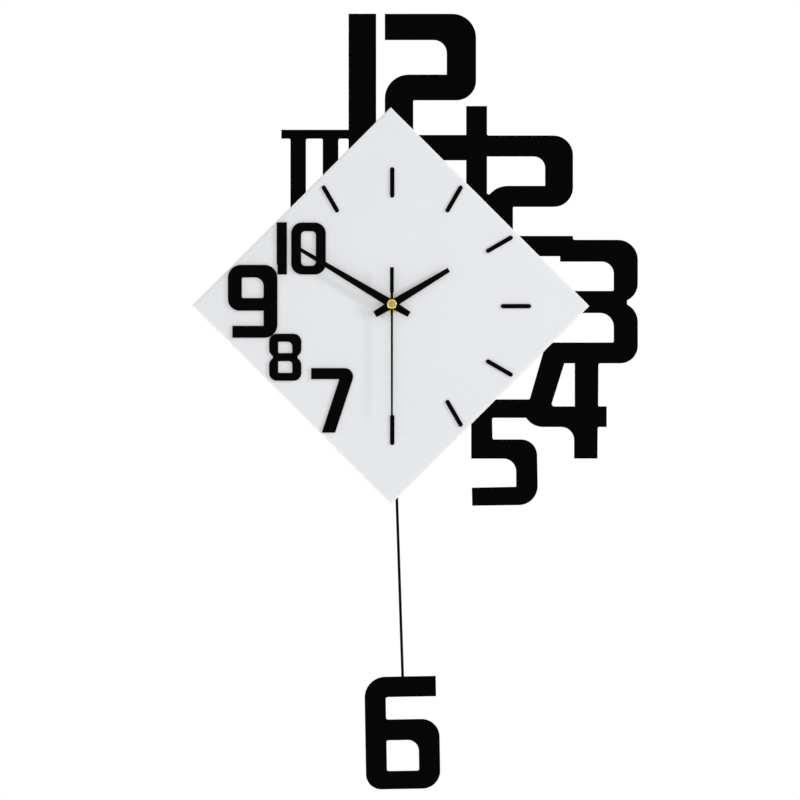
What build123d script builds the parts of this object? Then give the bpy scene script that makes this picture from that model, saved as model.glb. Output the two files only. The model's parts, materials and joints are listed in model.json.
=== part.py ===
"""Pendulum wall clock: a square dial hung on its corner, block numerals cut
from one black plate behind it, and a figure six swinging on a long rod.

Millimetres. +X is right and +Z is up as the clock is seen on the wall, and
the front faces -Y. The wall is the plane Y = 0. The origin is on the wall,
midway between the two keyholes that the clock hangs from.
"""
import os
from math import cos, pi, radians, sin

from build123d import *

# Where the clock sits on the wall
axis_z = -50.0              # hand axis below the keyholes
hanger_u = 50.0             # keyhole to the left and right of the hand axis

# Thicknesses through the clock, from the wall forward
board_back = 20.0
board_thick = 5.0
plate_thick = 3.0
pad_thick = 1.0
dial_thick = 4.0
plate_back = board_back + board_thick
pad_back = plate_back + plate_thick
dial_back = pad_back + pad_thick
dial_front = dial_back + dial_thick

# Fits and gaps, all radial
run_gap = 0.05
press_gap = 0.02
loose_gap = 0.5

# Gaps along the depth
end_play = 0.1              # at each end of an arbor
side_gap = 0.3              # between a turning piece and a fixed face beside it
tube_over = 0.3             # tubes stand out this far past the hand they carry
screw_short = 0.5           # screws end this far before the end of their hole

# Screw heads
wood_head_r = 3.1
wood_head_thick = 1.4
small_head_r = 1.7
small_head_thick = 0.8
cross_slim = 0.25           # width of a cross recess over its length
cross_deep = 0.6            # its depth over the thickness of the head
head_round = 0.5            # rounding of the head over its thickness

# Dial
dial_half = 186.8           # half of the diagonal
grid = dial_half / 186.8    # the figures are drawn for that dial and grow with it
dial_centre = (-1.15, -1.6)  # the panel sits a little off the hand axis
figure_centre = (0.5, -2.5)  # and so does the drawing of figures
mark_centre = (0.3, -1.8)   # and of hour marks
rim_wide = 0.6              # steep edge of the dial
rim_deep = 0.8
bevel_wide = 1.7            # flat bevel inside it
bevel_deep = 0.3
numeral_thick = 1.5
mark_radius = 116.3
mark_long = 28.6
mark_wide = 4.1
mark_thick = 1.2
mark_hours = (11, 12, 1, 2, 3, 4, 5, 6)

# Board and hidden middle of the number plate, both inside the dial's edge
board_margin = 26.2
web_margin = 18.2
board_half = dial_half - board_margin
web_half = dial_half - web_margin

# Threaded spindle through the panels
spindle_r = 4.0
panel_hole_r = spindle_r + loose_gap
washer_r = 7.3
washer_gap = 1.5            # the washer hangs on the spindle by this
washer_thick = 0.6
nut_flats = 13.0
nut_thick = 2.5

# Hands
hour_pipe_r = 2.5
pipe_wall = 0.7
minute_tube_r = hour_pipe_r - pipe_wall - run_gap
second_shaft_r = 0.5
hand_thick = 0.5
hour_hand_back = 37.4
minute_hand_back = 39.6
second_hand_back = 42.0
second_hand_thick = 0.4
hour_turn = 58.9
minute_turn = 300.8
second_turn = 180.0
hour_reach = 62.4
hour_tail = 18.6
hour_tail_wide = 6.1
hour_hub_wide = 7.6
hour_tip_wide = 4.4
hour_hub_r = 5.7
minute_reach_out = 104.5
minute_tail = 18.8
minute_tail_wide = 5.5
minute_hub_wide = 7.8
minute_tip_wide = 3.2
minute_hub_r = 4.6
needle_reach = 106.0
needle_wide = 2.1
needle_tip_wide = 1.8
second_neck = 10.8
second_neck_wide = 2.4
second_tail = 34.6
second_tail_wide = 3.6
second_hub_r = 3.2
second_shaft_over = 1.6     # past the back of the second hand
cap_r = 4.65
cap_high = 2.6
cap_round = 0.8
groove_r = (1.1, 3.1)       # edges of the ring turned in its face
groove_deep = 0.9
groove_round = 0.3

# Movement case
gasket_thick = 1.0
case_front = board_back - gasket_thick
case_wall = 1.5
case_face = 1.3
cell_r = 7.1
cell_long = 49.0
cell_round = 0.6
nub_r = 2.75
nub_long = 1.5
contact_space = 3.25        # beyond each end of the cell, for its leaf contact
room_half = (cell_long + nub_long) / 2 + contact_space
case_half = room_half + case_wall
case_top = 29.5
case_bottom = -87.0
case_corner = 4.0
case_edge = 4.2             # depth of the rear rim of the walls
cover_thick = 1.2
cover_back = case_edge - cover_thick
case_floor = case_front - case_face
gear_room = (-13.5, case_top - case_wall)
battery_room = (-32.0, gear_room[0] - case_wall)
swing_room = (case_bottom + case_wall, battery_room[0] - case_wall)
bearing_deep = 0.7

# Pendulum
pivot_v = -44.2
rest_turn = -1.89           # bob to the right of plumb, as photographed
pin_r = 1.0
arm_back = 7.5
arm_thick = 3.0
magnet_drop = 30.0
magnet_r = 4.5
hook_drop = 52.0
hook_over = 1.5             # the bent top of the rod stands out behind the arm
rod_r = 1.3
rod_bend = 2.0
rod_depth = 13.0
bob_drop = 306.7
bob_lean = 0.9              # the bob hangs this far clockwise of its rod
bob_wide = 70.1
bob_high = 106.0
bob_left = -36.2
bob_thick = 3.0
clip_thick = 4.0
clip_behind = 1.7           # back of the clip behind the middle of the rod
clip_back = rod_depth - clip_behind
bob_back = clip_back + clip_thick


def face_plane(depth, at=(0, 0), turn=0):
    """Plane facing the viewer, depth in front of the wall, centred at a point
    right and up of the hand axis and turned clockwise by turn degrees."""
    return Plane(
        origin=(at[0], -depth, axis_z + at[1]),
        x_dir=(cos(radians(turn)), 0, -sin(radians(turn))),
        z_dir=(0, -1, 0),
    )


def cut_shape(corners, mode=Mode.ADD):
    """Flat shape from corners given as (right, up, corner radius)."""
    with BuildSketch(Plane.XY, mode=Mode.PRIVATE) as outline:
        with BuildLine():
            Polyline(*[(u, v) for u, v, r in corners], close=True)
        make_face()
        for u, v, r in corners:
            if r > 0:
                fillet(outline.vertices().sort_by_distance((u, v, 0))[0], r)
    add(outline.sketch, mode=mode)


def box_shape(left, bottom, right, top, mode=Mode.ADD):
    """Upright rectangle from its edges."""
    with Locations(((left + right) / 2, (bottom + top) / 2)):
        Rectangle(right - left, top - bottom, mode=mode)


def drawn(*corners):
    """Corners of a figure, brought from the drawing to the size of the dial."""
    return [(u * grid, v * grid, r * grid) for u, v, r in corners]


def drawn_bar(left, bottom, right, top):
    """Upright bar of a figure."""
    box_shape(left * grid, bottom * grid, right * grid, top * grid)


def diamond(half, centre=(0, 0), mode=Mode.ADD):
    """Square standing on its corner, half its diagonal from the centre."""
    with Locations(centre):
        Rectangle(half * 2 ** 0.5, half * 2 ** 0.5, rotation=45, mode=mode)


def figure_two(left, bottom, right, top, bars, stems, outer, elbow, inner, heel):
    """Block figure 2: bars are the inner edges of its strokes from the top
    down, stems the widths of its right and left uprights, and outer, elbow,
    inner and heel the radii of its bends."""
    under_top, over_mid, under_mid, over_base = bars
    right_in = right - stems[0]
    left_in = left + stems[1]
    cut_shape(drawn(
        (left, top, 0), (right, top, outer), (right, under_mid, elbow),
        (left_in, under_mid, 1), (left_in, over_base, 0), (right, over_base, 0),
        (right, bottom, 0), (left, bottom, 0), (left, over_mid, heel),
        (right_in, over_mid, 0), (right_in, under_top, inner), (left, under_top, 0),
    ))


# Dial panel: white square on its corner with a steep edge and a polished bevel
with BuildPart() as dial_panel:
    with BuildSketch(face_plane(dial_back)):
        diamond(dial_half, dial_centre)
    extrude(amount=dial_thick)
    for wide, deep in ((rim_wide, rim_deep), (bevel_wide, bevel_deep)):
        front = dial_panel.faces().sort_by(Axis.Y)[0]
        chamfer(front.edges(), wide, deep, reference=front)
    with BuildSketch(face_plane(dial_back)):
        Circle(panel_hole_r)
    extrude(amount=dial_thick, mode=Mode.SUBTRACT)

# Figure 7 on the dial
with BuildPart() as numeral_7:
    with BuildSketch(face_plane(dial_front, figure_centre)):
        cut_shape(drawn(
            (-76.4, -57.5, 0), (-33.9, -57.5, 8.0), (-53.9, -118.2, 0),
            (-66.4, -118.2, 0), (-49.9, -67.9, 0), (-76.4, -67.9, 0),
        ))
    extrude(amount=numeral_thick)

# Figure 8 on the dial, two lobes that meet at the waist
eight_left, eight_right = -115.9 * grid, -85.6 * grid
eight_top, eight_waist, eight_foot = -25.2 * grid, -47.2 * grid, -69.5 * grid
eight_bar, eight_stem = 7.5 * grid, 8.5 * grid
eight_bend, eight_pinch = 7.5 * grid, 3.5 * grid
eight_sharp = 1.0 * grid
eight_upper_bend, eight_lower_bend = 4.7 * grid, 3.0 * grid
with BuildPart() as numeral_8:
    with BuildSketch(face_plane(dial_front, figure_centre)):
        for top, foot in ((eight_top, eight_waist), (eight_waist, eight_foot)):
            cut_shape([
                (eight_left, top, eight_bend), (eight_right, top, eight_bend),
                (eight_right, foot, eight_bend), (eight_left, foot, eight_bend),
            ])
        half_bar = eight_bar / 2
        box_shape(
            eight_left + eight_pinch, eight_waist - eight_bar / 3,
            eight_right - eight_pinch, eight_waist + eight_bar / 3,
        )
        for top, foot, corner in (
            (eight_top - eight_bar, eight_waist + half_bar, eight_upper_bend),
            (eight_waist - half_bar, eight_foot + eight_bar, eight_lower_bend),
        ):
            cut_shape([
                (eight_left + eight_stem, top, eight_sharp), (eight_right - eight_stem, top, corner),
                (eight_right - eight_stem, foot, eight_sharp),
                (eight_left + eight_stem, foot, eight_sharp),
            ], mode=Mode.SUBTRACT)
    extrude(amount=numeral_thick)

# Figure 9 on the dial
nine_left, nine_right = -154.6 * grid, -108.1 * grid
nine_top, nine_foot = 39.5 * grid, -29.0 * grid
nine_bar, nine_stem = 11.8 * grid, 13.0 * grid
nine_mid_top, nine_mid_low = 8.3 * grid, -3.6 * grid
nine_tail, nine_tail_bar = 4.2 * grid, 11.2 * grid
nine_bend, nine_sharp = 12.2 * grid, 1.5 * grid
nine_heel_bend, nine_inner_bend = 10.8 * grid, 8.3 * grid
with BuildPart() as numeral_9:
    with BuildSketch(face_plane(dial_front, figure_centre)):
        cut_shape([
            (nine_left, nine_top, nine_bend), (nine_right, nine_top, nine_bend),
            (nine_right, nine_foot, nine_bend), (nine_left + nine_tail, nine_foot, 0),
            (nine_left + nine_tail, nine_foot + nine_tail_bar, 0),
            (nine_right - nine_stem, nine_foot + nine_tail_bar, 0),
            (nine_right - nine_stem, nine_mid_low, 0), (nine_left, nine_mid_low, nine_heel_bend),
        ])
        cut_shape([
            (nine_left + nine_stem, nine_top - nine_bar, nine_sharp),
            (nine_right - nine_stem, nine_top - nine_bar, nine_inner_bend),
            (nine_right - nine_stem, nine_mid_top, nine_sharp),
            (nine_left + nine_stem, nine_mid_top, nine_sharp),
        ], mode=Mode.SUBTRACT)
    extrude(amount=numeral_thick)

# Figure 10 on the dial: a plain upright and a ring
ten_foot_gap = 0.02         # between the foot of the 10 and the 9
ring_centre = (-78.9 * grid, 54.85 * grid)
ring_wide, ring_high = 32.5 * grid, 48.8 * grid
ring_stem, ring_bar = 9.3 * grid, 8.1 * grid
ring_bend, ring_inner_bend = 10.3 * grid, 3.8 * grid
with BuildPart() as numeral_10:
    with BuildSketch(face_plane(dial_front, figure_centre)):
        drawn_bar(-108.8, 39.8, -99.2, 79.5)
        drawn_bar(nine_right / grid + ten_foot_gap, 30.5, -99.2, 39.9)
        with Locations(ring_centre):
            RectangleRounded(ring_wide, ring_high, ring_bend)
            RectangleRounded(
                ring_wide - 2 * ring_stem, ring_high - 2 * ring_bar, ring_inner_bend,
                mode=Mode.SUBTRACT,
            )
    extrude(amount=numeral_thick)

# Hour marks, one short rounded bar each
with BuildPart() as hour_marks:
    for hour in mark_hours:
        with BuildSketch(face_plane(dial_front, mark_centre, 30 * hour)):
            with Locations((0, mark_radius)):
                SlotOverall(mark_long, mark_wide, rotation=90)
    extrude(amount=mark_thick)

# Number plate: figures 11, 12, 1, 2, 3, 4 and 5 cut in one black silhouette,
# joined by a square middle that the dial hides
plate_screw_spots = ((-112, 18), (104, -24), (-14, 122), (18, -118))
plate_screw_r = 1.25
plate_skin = 0.5            # left in front of the blind screw holes
soft_r = 1.6
soft_corners = (
    (-96.0, 158.5), (-81.4, 158.5), (-65.6, 158.5), (-50.9, 158.5), (-41.3, 158.5),
    (89.0, 161.4), (169.9, 63.2), (89.0, 102.6), (193.9, -53.0), (127.8, -86.9),
)
with BuildPart() as number_plate:
    with BuildSketch(face_plane(plate_back, figure_centre)) as figures:
        # figure 11, two legs under a long bar
        drawn_bar(-104.6, 158.5, -30, 166.8)
        drawn_bar(-96.0, 60, -81.4, 162)
        drawn_bar(-65.6, 60, -50.9, 162)
        # figure 12
        drawn_bar(-41.3, 110, -15.3, 276.0)
        figure_two(
            -7.2, 138.1, 78.7, 275.9, (251.3, 218.7, 194.6, 161.9), (27.6, 26.8),
            22.5, 18.5, 12.2, 22.5,
        )
        # figure 1 and figure 2
        drawn_bar(69.4, 50, 89.0, 189.1)
        figure_two(
            86.1, 47.8, 169.9, 161.4, (141.7, 114.0, 94.3, 66.9), (26.2, 27.3),
            18.5, 18.0, 10.8, 22.4,
        )
        # figure 3, two lobes with a blunt waist
        for top, foot, elbow in ((63.2, 4.6, 17.5), (4.6, -53.0, 16.5)):
            cut_shape(drawn(
                (157.8, top, 0), (230.9, top, 18.8), (230.9, foot, elbow), (157.8, foot, 0),
            ))
        drawn_bar(200, 0.6, 220.8, 8.6)
        for top, foot, bend in ((42.7, 15.1, 11.3), (-5.6, -33.4, 13.0)):
            cut_shape(drawn(
                (120, top, 0), (208.3, top, bend), (208.3, foot, 1.5), (120, foot, 0),
            ), mode=Mode.SUBTRACT)
        # figure 4
        cut_shape(drawn(
            (144.6, -33.4, 0), (167.9, -33.4, 0), (149.1, -93.5, 2.5), (171.6, -93.5, 0),
            (171.6, -36.0, 0), (194.0, -36.0, 0), (193.6, -93.5, 1.2), (201.6, -93.5, 0),
            (201.6, -112.9, 0), (193.2, -112.9, 1.2), (192.9, -142.6, 0), (171.0, -142.6, 0),
            (171.0, -112.9, 12.3), (122.8, -112.9, 18.8), (122.8, -92.0, 0), (127.7, -92.0, 0),
        ))
        # figure 5
        cut_shape(drawn(
            (74.1, -86.9, 0), (136.8, -86.9, 0), (136.8, -104.3, 0), (93.8, -104.3, 1.5),
            (94.2, -124.6, 1.5), (135.9, -124.6, 15.0), (137.0, -186.2, 18.0), (75.1, -187.0, 0),
            (74.7, -170.0, 0), (116.5, -169.2, 0), (116.3, -142.7, 12.0), (74.1, -142.7, 0),
        ))
        # inner corners between the strokes, softened by the cutter
        for u, v in soft_corners:
            corner = figures.vertices().sort_by_distance((u * grid, v * grid, 0))[0]
            fillet(corner, soft_r * grid)
    with BuildSketch(face_plane(plate_back)):
        diamond(web_half, dial_centre)
    extrude(amount=plate_thick)
    with BuildSketch(face_plane(plate_back)):
        Circle(panel_hole_r)
    extrude(amount=plate_thick, mode=Mode.SUBTRACT)
    with BuildSketch(face_plane(plate_back)):
        with Locations(*plate_screw_spots):
            Circle(plate_screw_r + press_gap)
    extrude(amount=plate_thick - plate_skin, mode=Mode.SUBTRACT)

# Backing board that carries the hangers and the movement
hanger_wide = 24.0
hanger_half = 18.0
hanger_foot = 12.0
hanger_steel = 1.5
hanger_v = -axis_z
foot_screw_v = hanger_half + hanger_foot / 2
wood_screw_r = 1.3
wood_screw_bite = 4.0
bumper_spots = ((-45, -80), (45, -80))
foot_spots = [
    (side * hanger_u, hanger_v + up * foot_screw_v) for side in (-1, 1) for up in (-1, 1)
]
with BuildPart() as back_board:
    with BuildSketch(face_plane(board_back)):
        diamond(board_half, dial_centre)
        Circle(panel_hole_r, mode=Mode.SUBTRACT)
        with Locations(*plate_screw_spots):
            Circle(plate_screw_r + press_gap, mode=Mode.SUBTRACT)
    extrude(amount=board_thick)
    with BuildSketch(face_plane(board_back)):
        with Locations(*foot_spots, *bumper_spots):
            Circle(wood_screw_r + press_gap)
    extrude(amount=wood_screw_bite, mode=Mode.SUBTRACT)

# Adhesive pads between the number plate and the dial
pad_reach = 108.0
pad_wide = 36.0
pad_high = 24.0
pad_corner = 2.0
with BuildPart() as tape_pads:
    with BuildSketch(face_plane(pad_back)):
        with Locations((-pad_reach, 0), (pad_reach, 0), (0, pad_reach), (0, -pad_reach)):
            RectangleRounded(pad_wide, pad_high, pad_corner)
    extrude(amount=pad_thick)


def screw_set(spots, seat, head_thick, head_r, shank_r, shank_long):
    """Pan head screws driven forward: head behind its seat, shank in front."""
    head_back = seat - head_thick
    with BuildPart() as screws:
        with BuildSketch(face_plane(head_back)):
            with Locations(*spots):
                Circle(head_r)
        extrude(amount=head_thick)
        crowns = screws.faces().sort_by(Axis.Y)[-len(spots):]
        fillet(crowns.edges(), head_thick * head_round)
        with BuildSketch(face_plane(seat)):
            with Locations(*spots):
                Circle(shank_r)
        extrude(amount=shank_long)
        with BuildSketch(face_plane(head_back)):
            with Locations(*spots):
                Rectangle(head_r, head_r * cross_slim)
                Rectangle(head_r * cross_slim, head_r)
        extrude(amount=head_thick * cross_deep, mode=Mode.SUBTRACT)
    return screws


plate_screws = screw_set(
    plate_screw_spots, board_back, wood_head_thick, wood_head_r, plate_screw_r,
    board_thick + plate_thick - plate_skin - screw_short,
)

# Hat shaped steel hangers with a keyhole in the bridge that meets the wall
hanger_bend = 0.8           # inside radius of the bends
keyhole_r = 4.5
keyhole_slot_r = 2.2
keyhole_rise = 8.0


def wall_hanger(u):
    """Bent strip: two feet on the board, a bridge flat on the wall."""
    outer = hanger_half + hanger_foot
    inner = hanger_half - hanger_steel
    step = board_back - hanger_steel
    wide_bend = hanger_bend + hanger_steel
    side = Plane(
        origin=(u - hanger_wide / 2, 0, axis_z + hanger_v), x_dir=(0, 0, 1), z_dir=(1, 0, 0)
    )
    with BuildPart() as hanger:
        with BuildSketch(side):
            cut_shape([
                (-outer, board_back, 0), (-outer, step, 0), (-hanger_half, step, hanger_bend),
                (-hanger_half, 0, wide_bend), (hanger_half, 0, wide_bend),
                (hanger_half, step, hanger_bend), (outer, step, 0), (outer, board_back, 0),
                (inner, board_back, wide_bend), (inner, hanger_steel, hanger_bend),
                (-inner, hanger_steel, hanger_bend), (-inner, board_back, wide_bend),
            ])
        extrude(amount=hanger_wide)
        with BuildSketch(face_plane(0, (u, hanger_v))):
            Circle(keyhole_r)
            with Locations((0, keyhole_rise / 2)):
                SlotOverall(keyhole_rise + 2 * keyhole_slot_r, 2 * keyhole_slot_r, rotation=90)
        extrude(amount=hanger_steel, mode=Mode.SUBTRACT)
        with BuildSketch(face_plane(step, (u, hanger_v))):
            with Locations((0, foot_screw_v), (0, -foot_screw_v)):
                Circle(wood_screw_r + loose_gap)
        extrude(amount=hanger_steel, mode=Mode.SUBTRACT)
    return hanger


hanger_left = wall_hanger(-hanger_u)
hanger_right = wall_hanger(hanger_u)
hanger_screws = screw_set(
    foot_spots, board_back - hanger_steel, wood_head_thick, wood_head_r, wood_screw_r,
    hanger_steel + wood_screw_bite - screw_short,
)

# Rubber bumpers that keep the lower half parallel to the wall
bumper_r = 8.0
bumper_well = 14.0
bumper_well_r = wood_head_r + loose_gap
bumper_round = 1.0
with BuildPart() as wall_bumpers:
    with BuildSketch(face_plane(0)):
        with Locations(*bumper_spots):
            Circle(bumper_r)
    extrude(amount=board_back)
    fillet(wall_bumpers.faces().sort_by(Axis.Y)[-len(bumper_spots):].edges(), bumper_round)
    with BuildSketch(face_plane(0)):
        with Locations(*bumper_spots):
            Circle(bumper_well_r)
    extrude(amount=bumper_well, mode=Mode.SUBTRACT)
    with BuildSketch(face_plane(bumper_well)):
        with Locations(*bumper_spots):
            Circle(wood_screw_r + loose_gap)
    extrude(amount=board_back - bumper_well, mode=Mode.SUBTRACT)
bumper_screws = screw_set(
    bumper_spots, bumper_well, wood_head_thick, wood_head_r, wood_screw_r,
    board_back - bumper_well + wood_screw_bite - screw_short,
)

# Gear train layout: every wheel turns on an axis parallel to the hand axis
hand_axis = (0, 0)
rotor_teeth, step_teeth = 8, 48
step_pinion_teeth, second_teeth = 8, 40
second_pinion_teeth, third_teeth = 8, 60
third_pinion_teeth, centre_teeth = 8, 64
cannon_teeth, minute_teeth = 10, 30
minute_pinion_teeth, hour_teeth = 8, 32
step_module = 0.4
rotor_module = 0.35
third_reach = 11.0
minute_reach = 11.6
second_module = 2 * third_reach / (second_pinion_teeth + third_teeth)
centre_module = 2 * third_reach / (third_pinion_teeth + centre_teeth)
motion_module = 2 * minute_reach / (cannon_teeth + minute_teeth)
step_reach = step_module * (step_pinion_teeth + second_teeth) / 2
rotor_reach = rotor_module * (rotor_teeth + step_teeth) / 2
step_way, rotor_way, third_way, minute_way = 60, 20, 150, -10


def polar(start, reach, way):
    """Point at a distance from start, way degrees up from the right."""
    return (start[0] + reach * cos(radians(way)), start[1] + reach * sin(radians(way)))


step_axis = polar(hand_axis, step_reach, step_way)
rotor_axis = polar(step_axis, rotor_reach, rotor_way)
third_axis = polar(hand_axis, third_reach, third_way)
minute_axis = polar(hand_axis, minute_reach, minute_way)

# Depths of the layers of the train, from the rear cover forward
step_layer = 6.4
second_layer = 8.2
bridge_layer = 9.6
bridge_thick = 1.0
bridge_end = bridge_layer + bridge_thick
third_layer = 11.2
centre_layer = 12.6
minute_layer = 14.0
hour_layer = 15.7
wheel_thick = 0.8
pinion_over = 0.2           # pinions stand out past their wheels by this
arbor_r = 0.6
setting_arbor_r = 0.8
gear_root = 0.95            # depth of a tooth below the pitch circle, in modules
gear_tip = 0.65             # and its height above it
tooth_root = 0.20           # half widths of a tooth, as shares of the pitch
tooth_tip = 0.09
rear_bearing = case_edge - bearing_deep
front_bearing = case_floor + bearing_deep


def gear_shape(teeth, module, tooth_way):
    """Toothed outline with one tooth pointing tooth_way degrees up from the
    right. The teeth are slim, so the meshes run with backlash."""
    pitch_r = module * teeth / 2
    root_r = pitch_r - gear_root * module
    tip_r = pitch_r + gear_tip * module
    root_half = tooth_root * pi * module / root_r
    tip_half = tooth_tip * pi * module / tip_r
    points = []
    for tooth in range(teeth):
        middle = radians(tooth_way) + 2 * pi * tooth / teeth
        for radius, side in (
            (root_r, -root_half), (tip_r, -tip_half), (tip_r, tip_half), (root_r, root_half),
        ):
            points.append((radius * cos(middle + side), radius * sin(middle + side)))
    Polygon(*points, align=None)


def gear_disc(axis, depth, thick, teeth, module, tooth_way):
    """Gear of the part being built, standing forward from a depth."""
    with BuildSketch(face_plane(depth, axis)) as profile:
        gear_shape(teeth, module, tooth_way)
    extrude(profile.sketch, amount=thick)


def pinion_disc(axis, layer, teeth, module, wheel_way):
    """Pinion meshing with a wheel in a layer, a gap facing the wheel."""
    gear_disc(
        axis, layer - pinion_over, wheel_thick + 2 * pinion_over, teeth, module,
        wheel_way + 180 / teeth,
    )


def round_bar(axis, depth, end, radius, mode=Mode.ADD):
    """Round bar or hole of the part being built, between two depths."""
    with BuildSketch(face_plane(depth, axis)) as profile:
        Circle(radius)
    extrude(profile.sketch, amount=end - depth, mode=mode)


# Stepping motor rotor: magnet and pinion on one arbor
rotor_magnet_r = 2.7
rotor_magnet_back = 7.8
rotor_magnet_thick = 1.4
with BuildPart() as motor_rotor:
    round_bar(rotor_axis, rear_bearing + end_play, bridge_end - end_play, arbor_r)
    pinion_disc(rotor_axis, step_layer, rotor_teeth, rotor_module, rotor_way + 180)
    round_bar(
        rotor_axis, rotor_magnet_back, rotor_magnet_back + rotor_magnet_thick, rotor_magnet_r
    )

# Step wheel between the motor and the second wheel
with BuildPart() as step_wheel:
    round_bar(step_axis, rear_bearing + end_play, bridge_end - end_play, arbor_r)
    gear_disc(step_axis, step_layer, wheel_thick, step_teeth, rotor_module, rotor_way)
    pinion_disc(step_axis, second_layer, step_pinion_teeth, step_module, step_way + 180)

# Second wheel and its long shaft through the middle of the hands
second_shaft_end = second_hand_back + second_shaft_over
with BuildPart() as second_wheel:
    round_bar(hand_axis, rear_bearing + end_play, second_shaft_end, second_shaft_r)
    gear_disc(hand_axis, second_layer, wheel_thick, second_teeth, step_module, step_way)
    pinion_disc(hand_axis, third_layer, second_pinion_teeth, second_module, third_way)

# Third wheel
with BuildPart() as third_wheel:
    round_bar(third_axis, bridge_layer + end_play, front_bearing - end_play, arbor_r)
    gear_disc(third_axis, third_layer, wheel_thick, third_teeth, second_module, third_way + 180)
    pinion_disc(third_axis, centre_layer, third_pinion_teeth, centre_module, third_way + 180)

# Centre wheel with the cannon pinion and the tube of the minute hand
minute_tube_end = minute_hand_back + hand_thick + tube_over
with BuildPart() as centre_wheel:
    round_bar(hand_axis, third_layer + wheel_thick + side_gap, minute_layer, minute_tube_r)
    gear_disc(hand_axis, centre_layer, wheel_thick, centre_teeth, centre_module, third_way)
    pinion_disc(hand_axis, minute_layer, cannon_teeth, motion_module, minute_way)
    round_bar(hand_axis, minute_layer + wheel_thick, minute_tube_end, minute_tube_r)
    round_bar(
        hand_axis, third_layer, minute_tube_end, second_shaft_r + run_gap, mode=Mode.SUBTRACT
    )

# Minute wheel of the motion work, on the setting arbor
knob_back = 0.8
knob_thick = 1.8
knob_r = 6.0
knob_notches = 18
knob_notch_r = 0.8
knob_notch_out = 0.4        # middle of the notches outside the rim
knob_skin = 0.3             # left behind the end of the arbor
knob_groove_r = 3.4
knob_groove_wide = 0.7
knob_groove_deep = 0.35
with BuildPart() as minute_wheel:
    round_bar(minute_axis, knob_back + knob_skin, front_bearing - end_play, setting_arbor_r)
    gear_disc(minute_axis, minute_layer, wheel_thick, minute_teeth, motion_module, minute_way + 180)
    pinion_disc(minute_axis, hour_layer, minute_pinion_teeth, motion_module, minute_way + 180)

# Hour wheel with the pipe of the hour hand
hour_pipe_end = hour_hand_back + hand_thick + tube_over
with BuildPart() as hour_wheel:
    gear_disc(hand_axis, hour_layer, wheel_thick, hour_teeth, motion_module, minute_way)
    round_bar(hand_axis, hour_layer, hour_pipe_end, hour_pipe_r)
    round_bar(hand_axis, hour_layer, hour_pipe_end, hour_pipe_r - pipe_wall, mode=Mode.SUBTRACT)

# Setting knob behind the movement, with finger notches
with BuildPart() as setting_knob:
    with BuildSketch(face_plane(knob_back, minute_axis)):
        Circle(knob_r)
        with PolarLocations(knob_r + knob_notch_out, knob_notches):
            Circle(knob_notch_r, mode=Mode.SUBTRACT)
    extrude(amount=knob_thick)
    with BuildSketch(face_plane(knob_back, minute_axis)):
        Circle(knob_groove_r + knob_groove_wide)
        Circle(knob_groove_r, mode=Mode.SUBTRACT)
    extrude(amount=knob_groove_deep, mode=Mode.SUBTRACT)
    round_bar(
        minute_axis, knob_back + knob_skin, knob_back + knob_thick, setting_arbor_r + press_gap,
        mode=Mode.SUBTRACT,
    )

# Bridge that carries the middle bearings, on three posts of the case
bridge_posts = ((24.5, 3.5), (-14.0, -9.0), (-8.0, 18.5))
post_r = 2.0
bridge_screw_r = 0.8
bridge_screw_bite = 3.0
bridge_corner = 2.0
with BuildPart() as train_bridge:
    with BuildSketch(face_plane(bridge_layer)):
        cut_shape([(u, v, bridge_corner) for u, v in (
            (-17.5, -12.0), (27.5, 0.5), (27.5, 6.5), (19.0, 14.5),
            (-5.0, 21.5), (-11.0, 21.5), (-17.5, -6.0),
        )])
        with Locations(rotor_axis, step_axis, third_axis):
            Circle(arbor_r + run_gap, mode=Mode.SUBTRACT)
        with Locations(minute_axis):
            Circle(setting_arbor_r + loose_gap, mode=Mode.SUBTRACT)
        with Locations(hand_axis):
            Circle(second_shaft_r + run_gap, mode=Mode.SUBTRACT)
        with Locations(*bridge_posts):
            Circle(bridge_screw_r + loose_gap, mode=Mode.SUBTRACT)
    extrude(amount=bridge_thick)
bridge_screws = screw_set(
    bridge_posts, bridge_layer, small_head_thick, small_head_r, bridge_screw_r,
    bridge_thick + bridge_screw_bite,
)

# Motor stator: a closed iron yoke with a round opening for the rotor magnet
yoke_back = 7.9
yoke_thick = 1.2
yoke_left, yoke_right = 9.0, 26.0
yoke_foot, yoke_window = 7.5, 16.0
yoke_bar = (21.5, 25.0)
yoke_leg = 3.0
yoke_post_r = 1.4
yoke_posts = [(u, (yoke_window + yoke_bar[0]) / 2) for u in (
    yoke_left + yoke_leg / 2, yoke_right - yoke_leg / 2,
)]
with BuildPart() as motor_stator:
    with BuildSketch(face_plane(yoke_back)):
        box_shape(yoke_left, yoke_foot, yoke_right, yoke_bar[1])
        box_shape(
            yoke_left + yoke_leg, yoke_window, yoke_right - yoke_leg, yoke_bar[0],
            mode=Mode.SUBTRACT,
        )
        with Locations(rotor_axis):
            Circle(rotor_magnet_r + loose_gap, mode=Mode.SUBTRACT)
    extrude(amount=yoke_thick)

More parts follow.
